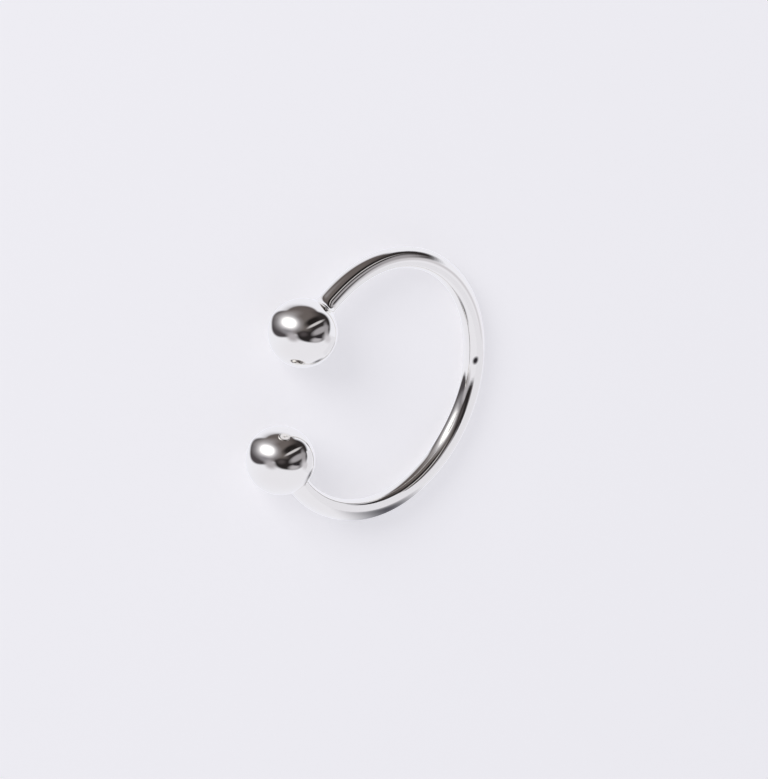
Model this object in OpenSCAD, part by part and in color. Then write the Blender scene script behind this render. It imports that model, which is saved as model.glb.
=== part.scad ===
// Open ring of round silver wire with a solid ball soldered to each end.
// It lies on its side, on the two balls and the back of the wire.

/* [Band] */
// Clear diameter inside the band
inner_d = 17.7; // [15:0.1:22]
// Diameter of the round wire
wire_d = 1.55; // [1:0.05:2]
// Angle that the wire is bent through, which sets the mouth between the balls
bend_angle = 267.9; // [258:0.1:274]
// Length of straight wire between the bend and the solder
straight_l = 0.1; // [0:0.05:1.5]

/* [Balls] */
// Diameter of each ball
ball_d = 5; // [4:0.1:6]

/* [Solder] */
// Radius of the hollow fillet of solder between the wire and a ball
solder_r = 0.9; // [0.3:0.05:1.2]

/* [Hidden] */
$fn = 96;
silver = "#e9e6e0";

wire_r = wire_d / 2;
ball_r = ball_d / 2;
bend_r = inner_d / 2 + wire_r;

// Surfaces that would only touch cross by a hair instead
hair = 0.01;

// The straight ends are a hair thicker than the bend, and each one closes over this much of it
end_r = wire_r + hair;
lap_angle = 2;

// The fillet's circle touches the wire and the ball: its centre seen from the ball's centre
fillet_x = end_r + solder_r;
fillet_y = sqrt(pow(ball_r + solder_r - hair, 2) - pow(fillet_x, 2));

// From the end of the bend to the ball's centre
reach = fillet_y + straight_l;

// Angle at the ring's axis from the mouth's middle to the end of the bend
bend_end = (360 - bend_angle) / 2;

// The ball's centre lies this far to the side and to the front of the ring's axis
ball_side = bend_r * sin(bend_end) - reach * cos(bend_end);
ball_front = bend_r * cos(bend_end) + reach * sin(bend_end);

// The balls are thicker than the wire, so the ring lies at this slope
rest_tilt = asin((ball_r - wire_r) / (bend_r + ball_front));
rest_lift = wire_r + bend_r * sin(rest_tilt);
back_y = bend_r * cos(rest_tilt) + wire_r;
front_y = ball_front * cos(rest_tilt) + ball_r;

// Round wire bent round the finger, open at the front
module band() {
    rotate([0, 0, bend_end - lap_angle - 90])
        rotate_extrude(angle = bend_angle + 2 * lap_angle)
            translate([bend_r, 0])
                circle(r = wire_r);
}

// Half outline of a wire end: straight wire, solder fillet and ball about one axis
module end_outline() {
    intersection() {
        union() {
            square([end_r, reach]);
            translate([0, reach])
                circle(r = ball_r);
            difference() {
                polygon([[0, reach - fillet_y], [fillet_x, reach - fillet_y], [0, reach]]);
                translate([fillet_x, reach - fillet_y])
                    circle(r = solder_r);
            }
        }
        square([ball_d, reach + ball_d]);
    }
}

// Straight wire end with its ball, carried on from the end of the bend
module ball_end() {
    translate([bend_r * sin(bend_end), -bend_r * cos(bend_end), 0])
        rotate([90, 0, bend_end - 90])
            rotate_extrude()
                end_outline();
}

// The whole ring is one soldered piece
module ring() {
    color(silver)
        translate([0, (front_y - back_y) / 2, rest_lift])
            rotate([-rest_tilt, 0, 0])
                union() {
                    band();
                    ball_end();
                    mirror([1, 0, 0])
                        ball_end();
                }
}

ring();
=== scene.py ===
"""Open ring of polished sterling silver wire with a ball soldered to each end, lying on white paper."""

import math

import bpy
from mathutils import Matrix, Vector


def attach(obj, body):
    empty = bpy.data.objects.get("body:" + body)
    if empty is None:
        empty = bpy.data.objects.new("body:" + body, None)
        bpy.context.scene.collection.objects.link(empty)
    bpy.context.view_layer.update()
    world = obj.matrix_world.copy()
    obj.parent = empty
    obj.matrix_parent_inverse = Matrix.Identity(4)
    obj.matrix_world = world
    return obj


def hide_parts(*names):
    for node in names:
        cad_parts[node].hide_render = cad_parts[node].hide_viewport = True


MM = 0.001

# Driving sizes of the ring, in millimetres and degrees, as the solid has them
INNER_D = 17.7
WIRE_D = 1.55
BEND_ANGLE = 267.9
STRAIGHT_L = 0.1
BALL_D = 5.0
SOLDER_R = 0.9

# How finely the metal is divided: round the wire, along half the bend, up the solder and over a ball
ROUND_STEPS = 96
BEND_STEPS = 132
SOLDER_STEPS = 10
BALL_STEPS = 56

WIRE_R = WIRE_D / 2
BALL_R = BALL_D / 2
BEND_R = INNER_D / 2 + WIRE_R

# The hollow fillet of solder touches the wire and the ball: its centre, seen from the ball's centre
FILLET_SIDE = WIRE_R + SOLDER_R
FILLET_BACK = math.sqrt((BALL_R + SOLDER_R) ** 2 - FILLET_SIDE**2)
REACH = FILLET_BACK + STRAIGHT_L

# The bend stops at this angle from the mouth, and the rest is straight
BEND_END = math.radians((360 - BEND_ANGLE) / 2)
BALL_SIDE = BEND_R * math.sin(BEND_END) - REACH * math.cos(BEND_END)
BALL_FRONT = BEND_R * math.cos(BEND_END) + REACH * math.sin(BEND_END)

# The balls are thicker than the wire, so the ring lies at this slope
REST_TILT = math.asin((BALL_R - WIRE_R) / (BEND_R + BALL_FRONT))
REST_LIFT = WIRE_R + BEND_R * math.sin(REST_TILT)
BACK_Y = BEND_R * math.cos(REST_TILT) + WIRE_R
FRONT_Y = BALL_FRONT * math.cos(REST_TILT) + BALL_R
RING_CENTRE = Vector((0, (FRONT_Y - BACK_Y) / 2, REST_LIFT)) * MM

# The two halves of the ring are joined where their points are closer than this
SEAM = 0.0001 * MM

# The ring was bent by hand: each ball, with the wire that leads to it, is this far from its even place,
# the one at the left seen from the back and then the one at the right
LEFT_BALL_SHIFT = Vector((0.02, -0.20, 0)) * MM
RIGHT_BALL_SHIFT = Vector((0.08, 0.20, 0)) * MM
SHIFT_REACH = 7 * MM

# The polishing wheel's waves, and the dimples that drawing and bending leave: how long and how deep
WAVE_LENGTH = 2.0 * MM
WAVE_DEPTH = 0.004 * MM
DIMPLE_LENGTH = 0.4 * MM
DIMPLE_DEPTH = 0.0022 * MM

# Only the wire has dimples: the balls and their solder end at about this Y, and the dimples set in from
# this far before it to this far behind it
BALLS_END = -5.5 * MM
DIMPLES_FADE = 1 * MM

# Hairline scuffs are 0.01 mm wide on the real metal and are drawn this far apart, so that they show
SCUFF_SPACING = 0.15 * MM

# How rough the metal is where it is smoothest, where it is scuffed and on the fleck
SMOOTH_ROUGHNESS = 0.025
SCUFFED_ROUGHNESS = 0.07
FLECK_ROUGHNESS = 0.45

# A fleck on the back of the wire, a painted reflection of a small dark thing near the ring: its place, half
# its length along the wire and half its width
FLECK_PLACE = Vector((-1.12, 9.63, 1.46)) * MM
FLECK_LENGTH = 0.32 * MM
FLECK_WIDTH = 0.20 * MM
FLECK_TURN = math.radians(-12)

# The camera: where it stands as seen from the ring, how far it is turned about its own line of sight,
# its distance, and how far the ring's centre lies to the right of the picture's middle and above it
VIEW_AZIMUTH = math.radians(-23.43)
VIEW_ELEVATION = math.radians(46.45)
VIEW_ROLL = math.radians(115.75)
VIEW_DISTANCE = 346.9 * MM
RING_OFFSET = Vector((-0.300, 0.385)) * MM

# Its focal length and sensor, which Blender takes in millimetres, and where its sight starts and ends
LENS = 220.1
SENSOR = 36
SIGHT_START = 10 * MM
SIGHT_END = 10_000 * MM

# The paper reaches far past the picture, and the dome that the metal mirrors stands round the ring
PAPER_RADIUS = 2_000 * MM
DOME_RADIUS = 500 * MM

# The soft light that the paper gets: what comes through it from a light table, the strength of the
# daylight all round, and of one softbox, its width and its place: how far it is to the right of the
# ring as the camera sees it, above the ring, and nearer to the camera
TABLE_LIGHT = 0.44
DAYLIGHT = 0.42
SOFTBOX_POWER = 3.4
SOFTBOX_SIZE = 450 * MM
SOFTBOX_PLACE = Vector((-330, 290, 900)) * MM

# What the balls mirror, seen on a ball from the camera in ball radii: x to the right and y up from its
# middle. Each patch lies over those before it. A squareness of 2 makes it an ellipse, and more a rounded
# box, and its soft edge reaches this share of its size to either side:
# name, middle x, middle y, half width, half height, turn in degrees, squareness, soft edge, colour
MIRRORED = (
    ("shade_below", 0.10, -0.45, 0.80, 0.42, 0, 2.0, 0.5, "#EDEDF5"),
    ("room_left", -0.50, 0.25, 0.37, 0.37, 0, 2.7, 0.09, "#4C484C"),
    ("room_middle", -0.02, 0.35, 0.52, 0.41, 0, 2.2, 0.07, "#5A5353"),
    ("room_right", 0.30, 0.17, 0.48, 0.44, 0, 2.4, 0.07, "#322E2F"),
    ("ceiling", -0.05, 0.52, 0.42, 0.22, -6, 2.0, 0.5, "#686160"),
    ("shelf", 0.02, 0.22, 0.20, 0.22, 0, 2.0, 0.6, "#6C6665"),
    ("wall_left", -0.42, 0.50, 0.30, 0.09, 8, 2.0, 0.7, "#918D8F"),
    ("glow", -0.40, 0.27, 0.32, 0.22, -12, 2.0, 0.6, "#C0BEC4"),
    ("glow_low", -0.42, 0.03, 0.14, 0.07, -20, 2.0, 0.7, "#8B898F"),
    ("notch", -0.27, -0.12, 0.16, 0.11, -20, 2.0, 0.6, "#B3B0B6"),
    ("floor_dark", 0.10, -0.10, 0.25, 0.14, -6, 2.2, 0.3, "#2A2728"),
    ("swirl", 0.03, -0.04, 0.10, 0.06, 0, 2.0, 0.8, "#4E494B"),
    ("corner_dark", 0.29, 0.33, 0.23, 0.09, 27, 2.2, 0.5, "#242121"),
    ("fan", 0.50, 0.07, 0.24, 0.08, 28, 2.2, 0.4, "#A5A2A7"),
    ("fan_side", 0.67, 0.06, 0.06, 0.21, 8, 2.2, 0.6, "#A09DA2"),
    ("blob_light", 0.40, -0.205, 0.15, 0.065, 8, 2.2, 0.6, "#B4B1B7"),
    ("blob_dark", 0.485, -0.11, 0.12, 0.045, 4, 2.4, 0.4, "#302D31"),
    ("corner_pale", 0.71, -0.16, 0.10, 0.12, 35, 2.0, 0.8, "#D2D0D7"),
    ("strip", 0.365, 0.25, 0.24, 0.034, 28, 2.4, 0.4, "#CDCACD"),
    ("softbox_edge", -0.38, 0.285, 0.25, 0.17, -14, 2.2, 0.4, "#E3E2E8"),
    ("softbox", -0.375, 0.285, 0.195, 0.13, -14, 2.2, 0.4, "#FFFFFF"),
)
PALE = "#F3F4FD"

# The softbox, last in the table, is this much brighter than white
SOFTBOX_GAIN = 1.6

# A pale card stands on its edge close to the ring. To the camera, only the lower side of the wire mirrors
# it. Its middle is to the right of the ring's centre as the camera sees it, below it and farther away
CARD_PLACE = Vector((13, -6.75, -5.2)) * MM
CARD_DEPTH = 13.6 * MM
CARD_HEIGHT = 16.5 * MM
CARD_TONE = "#E8E8F0"

# A clear sheet touches the ring from below, as the camera sees it, with one soft dark spot on it: a painted
# shadow, the ring's own shadow on paper below it. To the camera, only the edge of the wire and the rims of
# the balls mirror the painted shadow. The line of sight meets the sheet at this slope. The spot's middle is
# to the right of the ring's centre, a little nearer to the camera, and down on the sheet, and it fades out
# at this many times its half width and half depth
SHEET_SLOPE = math.radians(23.7)
SPOT_PLACE = Vector((1.2, -0.3, -10.45)) * MM
SPOT_HALF_WIDTH = 2.4 * MM
SPOT_HALF_DEPTH = 2.6 * MM
SPOT_TURN = math.radians(-30)
SPOT_FADE = 2.0
PAINTED_SHADOW_TONE = "#585860"


def srgb(text):
    """The linear colour of an sRGB hex value."""
    channels = [int(text[i : i + 2], 16) / 255 for i in (1, 3, 5)]
    return [c / 12.92 if c <= 0.04045 else ((c + 0.055) / 1.055) ** 2.4 for c in channels]


def add_node(tree, kind, sockets=None, **settings):
    """Adds a node. Sockets are given as numbers, colours or the outputs that feed them."""
    node = tree.nodes.new(kind)
    for name, value in settings.items():
        setattr(node, name, value)
    for key, value in (sockets or {}).items():
        if isinstance(value, bpy.types.NodeSocket):
            tree.links.new(value, node.inputs[key])
        else:
            node.inputs[key].default_value = value
    return node


def new_material(name):
    """An empty material, with its tree and the output that a shader goes into."""
    material = bpy.data.materials.new(name)
    material.use_nodes = True
    material.node_tree.nodes.clear()
    return material, material.node_tree


def worked_surface(tree, place):
    """The normal of the metal, with the wheel's waves all over and the dimples on the wire alone."""
    waves = add_node(
        tree,
        "ShaderNodeTexNoise",
        {"Vector": place, "Scale": 1 / WAVE_LENGTH, "Detail": 2.0, "Roughness": 0.4},
    )
    dimples = add_node(
        tree,
        "ShaderNodeTexNoise",
        {"Vector": place, "Scale": 1 / DIMPLE_LENGTH, "Detail": 1.0, "Roughness": 0.5},
    )
    axes = add_node(tree, "ShaderNodeSeparateXYZ", {0: place})
    on_wire = add_node(
        tree,
        "ShaderNodeMapRange",
        {
            "Value": axes.outputs["Y"],
            "From Min": BALLS_END - DIMPLES_FADE,
            "From Max": BALLS_END + DIMPLES_FADE,
        },
        interpolation_type="SMOOTHSTEP",
    )
    wavy = add_node(
        tree, "ShaderNodeBump", {"Height": waves.outputs["Fac"], "Strength": 1.0, "Distance": WAVE_DEPTH}
    )
    dimpled = add_node(
        tree,
        "ShaderNodeBump",
        {
            "Height": dimples.outputs["Fac"],
            "Strength": on_wire.outputs["Result"],
            "Distance": DIMPLE_DEPTH,
            "Normal": wavy.outputs["Normal"],
        },
    )
    return dimpled.outputs["Normal"]


def scuffed_roughness(tree, place):
    """The roughness of the metal, which the hairline scuffs raise a little."""
    scuffs = add_node(
        tree,
        "ShaderNodeTexNoise",
        {"Vector": place, "Scale": 1 / SCUFF_SPACING, "Detail": 4.0, "Roughness": 0.6},
    )
    scuffed = add_node(
        tree,
        "ShaderNodeMapRange",
        {
            "Value": scuffs.outputs["Fac"],
            "From Min": 0.3,
            "From Max": 0.75,
            "To Min": SMOOTH_ROUGHNESS,
            "To Max": SCUFFED_ROUGHNESS,
        },
    )
    return scuffed.outputs["Result"]


def painted_reflection_fleck(tree, place):
    """Where the one small fleck, a painted reflection, is: 1 in its middle, and 0 past its soft edge."""
    local = add_node(
        tree,
        "ShaderNodeMapping",
        {
            "Vector": place,
            "Location": FLECK_PLACE,
            "Rotation": (0, 0, FLECK_TURN),
            "Scale": (FLECK_LENGTH, FLECK_WIDTH, FLECK_WIDTH),
        },
        vector_type="TEXTURE",
    )
    reach = add_node(tree, "ShaderNodeVectorMath", {0: local.outputs[0]}, operation="LENGTH")
    share = add_node(
        tree,
        "ShaderNodeMapRange",
        {"Value": reach.outputs["Value"], "From Min": 1.4, "From Max": 0.4},
        interpolation_type="SMOOTHSTEP",
    )
    return share.outputs["Result"]


def polished_sterling_silver():
    """Sterling silver, drawn, bent, soldered and polished on a cotton wheel.

    It mirrors the room almost sharply. The wheel leaves a faint waviness that makes the reflections
    swim along the wire, and hairline scuffs that only soften them. One small fleck is a painted
    reflection of a small dark thing near the ring: nearly black in colour, and rougher.
    """
    material, tree = new_material("polished_sterling_silver")
    place = add_node(tree, "ShaderNodeTexCoord").outputs["Object"]
    # The fleck's near-black base colour is a painted reflection of a small dark thing near the ring
    fleck = painted_reflection_fleck(tree, place)
    colour = add_node(
        tree,
        "ShaderNodeMix",
        {"Factor": fleck, "A": (*srgb("#F7F5F1"), 1), "B": (*srgb("#3B373A"), 1)},
        data_type="RGBA",
    )
    roughness = add_node(
        tree,
        "ShaderNodeMapRange",
        {"Value": fleck, "To Min": scuffed_roughness(tree, place), "To Max": FLECK_ROUGHNESS},
    )
    shader = add_node(
        tree,
        "ShaderNodeBsdfPrincipled",
        {
            "Base Color": colour.outputs["Result"],
            "Metallic": 1.0,
            "Roughness": roughness.outputs["Result"],
            "Normal": worked_surface(tree, place),
        },
    )
    add_node(tree, "ShaderNodeOutputMaterial", {"Surface": shader.outputs["BSDF"]})
    return material


def white_paper():
    """Matt white paper on a light table: it takes soft, faint shadows and has no shine."""
    material, tree = new_material("white_paper")
    shader = add_node(
        tree,
        "ShaderNodeBsdfPrincipled",
        {
            "Base Color": (*srgb("#F4F3F5"), 1),
            "Roughness": 0.9,
            "Specular IOR Level": 0.1,
            "Emission Color": (*srgb("#F3F2F8"), 1),
            "Emission Strength": TABLE_LIGHT,
        },
    )
    add_node(tree, "ShaderNodeOutputMaterial", {"Surface": shader.outputs["BSDF"]})
    return material


def lay_patch(tree, on_ball, under, patch):
    """Lays a patch of the table over the colour under it, and gives its share and the new colour."""
    name, x, y, half_width, half_height, turn, square, soft, tone = patch
    local = add_node(
        tree,
        "ShaderNodeMapping",
        {
            "Vector": on_ball,
            "Location": (x, y, 0),
            "Rotation": (0, 0, math.radians(turn)),
            "Scale": (half_width, half_height, 1),
        },
        vector_type="TEXTURE",
        label=name,
    )
    size = add_node(tree, "ShaderNodeVectorMath", {0: local.outputs[0]}, operation="ABSOLUTE")
    axes = add_node(tree, "ShaderNodeSeparateXYZ", {0: size.outputs[0]})
    across = add_node(tree, "ShaderNodeMath", {0: axes.outputs[0], 1: square}, operation="POWER")
    up = add_node(tree, "ShaderNodeMath", {0: axes.outputs[1], 1: square}, operation="POWER")
    total = add_node(tree, "ShaderNodeMath", {0: across.outputs[0], 1: up.outputs[0]}, operation="ADD")
    reach = add_node(tree, "ShaderNodeMath", {0: total.outputs[0], 1: 1 / square}, operation="POWER")
    share = add_node(
        tree,
        "ShaderNodeMapRange",
        {"Value": reach.outputs[0], "From Min": 1 + soft, "From Max": 1 - soft},
        interpolation_type="SMOOTHSTEP",
    ).outputs["Result"]
    colour = add_node(
        tree,
        "ShaderNodeMix",
        {"Factor": share, "A": under, "B": (*srgb(tone), 1)},
        data_type="RGBA",
    ).outputs["Result"]
    return share, colour


def studio():
    """What surrounds the ring, as polished metal sees it, on a dome that only reflections reach."""
    material, tree = new_material("studio")
    # The dome has the camera's axes, so halfway between a point's direction and the camera's lies the
    # place on a ball that mirrors it
    place = add_node(tree, "ShaderNodeTexCoord").outputs["Object"]
    towards = add_node(tree, "ShaderNodeVectorMath", {0: place}, operation="NORMALIZE")
    halfway = add_node(tree, "ShaderNodeVectorMath", {0: towards.outputs[0], 1: (0, 0, 1)}, operation="ADD")
    on_ball = add_node(tree, "ShaderNodeVectorMath", {0: halfway.outputs[0]}, operation="NORMALIZE")
    colour = add_node(tree, "ShaderNodeRGB").outputs[0]
    colour.default_value = (*srgb(PALE), 1)
    for patch in MIRRORED:
        share, colour = lay_patch(tree, on_ball.outputs[0], colour, patch)
    # The share is now that of the last patch, the softbox
    gain = add_node(tree, "ShaderNodeMapRange", {"Value": share, "To Min": 1.0, "To Max": SOFTBOX_GAIN})
    glow = add_node(tree, "ShaderNodeEmission", {"Color": colour, "Strength": gain.outputs["Result"]})
    add_node(tree, "ShaderNodeOutputMaterial", {"Surface": glow.outputs[0]})
    return material


def pale_card():
    """Evenly lit white card."""
    material, tree = new_material("pale_card")
    glow = add_node(tree, "ShaderNodeEmission", {"Color": (*srgb(CARD_TONE), 1)})
    add_node(tree, "ShaderNodeOutputMaterial", {"Surface": glow.outputs[0]})
    return material


def painted_shadow_spot():
    """A painted shadow: a dark spot that is clear all round. The sheet's own coordinates are in half sizes
    of the spot.
    """
    material, tree = new_material("painted_shadow_spot")
    place = add_node(tree, "ShaderNodeTexCoord").outputs["Object"]
    reach = add_node(tree, "ShaderNodeVectorMath", {0: place}, operation="LENGTH")
    share = add_node(
        tree,
        "ShaderNodeMapRange",
        {"Value": reach.outputs["Value"], "From Min": SPOT_FADE, "From Max": 0.0},
        interpolation_type="SMOOTHSTEP",
    )
    clear = add_node(tree, "ShaderNodeBsdfTransparent")
    dark = add_node(tree, "ShaderNodeEmission", {"Color": (*srgb(PAINTED_SHADOW_TONE), 1)})
    both = add_node(
        tree, "ShaderNodeMixShader", {0: share.outputs["Result"], 1: clear.outputs[0], 2: dark.outputs[0]}
    )
    add_node(tree, "ShaderNodeOutputMaterial", {"Surface": both.outputs[0]})
    return material


def bend_half_band():
    """A circle of wire at the back of the ring, spun round it to the end of the bend on one side."""
    bpy.ops.object.select_all(action="DESELECT")
    bpy.ops.mesh.primitive_circle_add(
        vertices=ROUND_STEPS,
        radius=WIRE_R * MM,
        location=(0, BEND_R * MM, 0),
        rotation=(0, math.pi / 2, 0),
    )
    ring = bpy.context.object
    ring.name = "bubble_ring"
    bpy.ops.object.transform_apply(location=True, rotation=True, scale=True)
    bpy.ops.object.mode_set(mode="EDIT")
    bpy.ops.mesh.select_all(action="SELECT")
    bpy.ops.mesh.spin(steps=BEND_STEPS, angle=math.pi - BEND_END, center=(0, 0, 0), axis=(0, 0, 1))
    return ring


def wire_end_outline():
    """Half outline of a wire end past the bend: pairs of distance along the wire and radius, in mm."""
    outline = [(STRAIGHT_L, WIRE_R)]
    touch = math.atan2(FILLET_SIDE, FILLET_BACK)
    for step in range(1, SOLDER_STEPS + 1):
        turned = (math.pi / 2 - touch) * step / SOLDER_STEPS
        distance = STRAIGHT_L + SOLDER_R * math.sin(turned)
        outline.append((distance, FILLET_SIDE - SOLDER_R * math.cos(turned)))
    for step in range(1, BALL_STEPS):
        turned = touch + (math.pi - touch) * step / BALL_STEPS
        outline.append((REACH - BALL_R * math.cos(turned), BALL_R * math.sin(turned)))
    return outline


def draw_out_end():
    """Carries the end of the bend, which is still selected, on into straight wire, solder and ball."""
    start = Vector((math.sin(BEND_END), -math.cos(BEND_END), 0)) * BEND_R * MM
    along = Vector((-math.cos(BEND_END), -math.sin(BEND_END), 0))
    distance, radius = 0, WIRE_R
    for next_distance, next_radius in wire_end_outline():
        step = along * (next_distance - distance) * MM
        bpy.ops.mesh.extrude_region_move(TRANSFORM_OT_translate={"value": step})
        middle = start + along * next_distance * MM
        bpy.ops.transform.resize(value=(next_radius / radius,) * 3, center_override=middle)
        distance, radius = next_distance, next_radius
    step = along * (REACH + BALL_R - distance) * MM
    bpy.ops.mesh.extrude_region_move(TRANSFORM_OT_translate={"value": step})
    bpy.ops.mesh.merge(type="CENTER")
    bpy.ops.object.mode_set(mode="OBJECT")


def add_other_half(ring):
    """Mirrors the half ring to the other side and turns all faces outwards."""
    mirror = ring.modifiers.new("other_half", "MIRROR")
    mirror.merge_threshold = SEAM
    bpy.ops.object.modifier_apply(modifier=mirror.name)
    bpy.ops.object.mode_set(mode="EDIT")
    bpy.ops.mesh.select_all(action="SELECT")
    bpy.ops.mesh.normals_make_consistent(inside=False)
    bpy.ops.object.mode_set(mode="OBJECT")
    bpy.ops.object.shade_smooth()


def shift_ball(ring, side, shift):
    """Moves the ball on one side of the mouth, and less and less of the wire behind it."""
    lies = Matrix.Rotation(-REST_TILT, 3, "X")
    middle = RING_CENTRE + lies @ Vector((side * BALL_SIDE, -BALL_FRONT, 0)) * MM
    reach = (BALL_R + SOLDER_R) * MM
    bpy.ops.object.mode_set(mode="EDIT")
    bpy.ops.mesh.select_mode(type="VERT")
    bpy.ops.mesh.select_all(action="DESELECT")
    bpy.ops.object.mode_set(mode="OBJECT")
    for vertex in ring.data.vertices:
        vertex.select = (vertex.co - middle).length < reach
    bpy.ops.object.mode_set(mode="EDIT")
    bpy.ops.transform.translate(
        value=shift,
        use_proportional_edit=True,
        use_proportional_connected=True,
        proportional_edit_falloff="SMOOTH",
        proportional_size=SHIFT_REACH,
    )
    bpy.ops.object.mode_set(mode="OBJECT")


def model_ring():
    """The ring in one piece: half of it is bent and drawn out from a circle at the back, then mirrored."""
    ring = bend_half_band()
    draw_out_end()
    add_other_half(ring)

    # It lies on the balls and on the back of the wire
    ring.rotation_euler = (-REST_TILT, 0, 0)
    ring.location = RING_CENTRE
    bpy.ops.object.transform_apply(location=True, rotation=True, scale=True)
    shift_ball(ring, 1, LEFT_BALL_SHIFT)
    shift_ball(ring, -1, RIGHT_BALL_SHIFT)
    ring.data.materials.append(polished_sterling_silver())
    return ring


def camera_turn():
    """The turn from the camera's own axes to the ring's frame."""
    stands = Matrix.Rotation(VIEW_AZIMUTH, 4, "Z") @ Matrix.Rotation(math.pi / 2 - VIEW_ELEVATION, 4, "X")
    return stands @ Matrix.Rotation(VIEW_ROLL, 4, "Z")


def add_camera():
    """A long lens, well above the paper, turned so that the ring's ends are stacked at the left."""
    lens = bpy.data.cameras.new("camera")
    lens.lens = LENS
    lens.sensor_width = SENSOR
    lens.clip_start = SIGHT_START
    lens.clip_end = SIGHT_END
    camera = bpy.data.objects.new("camera", lens)
    bpy.context.scene.collection.objects.link(camera)
    back = Vector((-RING_OFFSET.x, -RING_OFFSET.y, VIEW_DISTANCE))
    turn = camera_turn()
    camera.matrix_world = Matrix.Translation(RING_CENTRE + turn.to_3x3() @ back) @ turn
    bpy.context.scene.camera = camera


def add_paper():
    """The paper that the ring lies on, which the metal doesn't mirror."""
    bpy.ops.object.select_all(action="DESELECT")
    bpy.ops.mesh.primitive_circle_add(vertices=64, radius=PAPER_RADIUS, fill_type="NGON")
    paper = bpy.context.object
    paper.name = "paper"
    paper.data.materials.append(white_paper())
    paper.visible_glossy = False


def only_mirrored(name, place, material):
    """Puts the new stage object at a place in the camera's axes, where only the metal mirrors it."""
    thing = bpy.context.object
    thing.name = name
    thing.matrix_world = Matrix.Translation(RING_CENTRE) @ camera_turn() @ place
    thing.data.materials.append(material)
    thing.visible_camera = False
    thing.visible_diffuse = False
    thing.visible_shadow = False
    thing.visible_transmission = False


def add_surroundings():
    """The dome, the card and the sheet, which are there for the metal alone."""
    bpy.ops.mesh.primitive_uv_sphere_add(segments=64, ring_count=32, radius=DOME_RADIUS)
    only_mirrored("studio_dome", Matrix(), studio())

    bpy.ops.mesh.primitive_plane_add(size=1)
    edgewise = Matrix.Rotation(math.pi / 2, 4, "Y") @ Matrix.Diagonal((CARD_DEPTH, CARD_HEIGHT, 1, 1))
    only_mirrored("pale_card", Matrix.Translation(CARD_PLACE) @ edgewise, pale_card())

    # The sheet carries a painted shadow, which only the metal mirrors
    bpy.ops.mesh.primitive_plane_add(size=2 * SPOT_FADE)
    sloped = Matrix.Rotation(SHEET_SLOPE - math.pi / 2, 4, "X") @ Matrix.Translation(SPOT_PLACE)
    drawn = Matrix.Rotation(SPOT_TURN, 4, "Z") @ Matrix.Diagonal((SPOT_HALF_WIDTH, SPOT_HALF_DEPTH, 1, 1))
    only_mirrored("painted_shadow_sheet", sloped @ drawn, painted_shadow_spot())


def add_lights():
    """Daylight all round and one softbox, which the metal mirrors only as a patch on the dome."""
    world = bpy.data.worlds.new("soft_daylight")
    world.use_nodes = True
    background = world.node_tree.nodes["Background"]
    background.inputs["Color"].default_value = (*srgb("#F2F2F8"), 1)
    background.inputs["Strength"].default_value = DAYLIGHT
    bpy.context.scene.world = world

    softbox = bpy.data.lights.new("softbox", "AREA")
    softbox.shape = "DISK"
    softbox.size = SOFTBOX_SIZE
    softbox.energy = SOFTBOX_POWER
    lamp = bpy.data.objects.new("softbox", softbox)
    bpy.context.scene.collection.objects.link(lamp)
    lamp.location = RING_CENTRE + camera_turn().to_3x3() @ SOFTBOX_PLACE
    lamp.rotation_euler = (RING_CENTRE - lamp.location).to_track_quat("-Z", "Y").to_euler()
    lamp.visible_glossy = False


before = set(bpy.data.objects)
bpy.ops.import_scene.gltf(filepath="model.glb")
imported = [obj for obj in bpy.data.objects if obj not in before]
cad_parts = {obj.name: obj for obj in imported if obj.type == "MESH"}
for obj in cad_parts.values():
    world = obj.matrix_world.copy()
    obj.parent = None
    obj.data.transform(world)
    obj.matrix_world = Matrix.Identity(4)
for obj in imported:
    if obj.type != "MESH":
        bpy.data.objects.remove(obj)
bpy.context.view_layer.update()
bpy.context.scene.view_settings.view_transform = "Standard"
add_camera()
ring = model_ring()
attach(ring, "root")
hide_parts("ring")
add_paper()
add_surroundings()
add_lights()
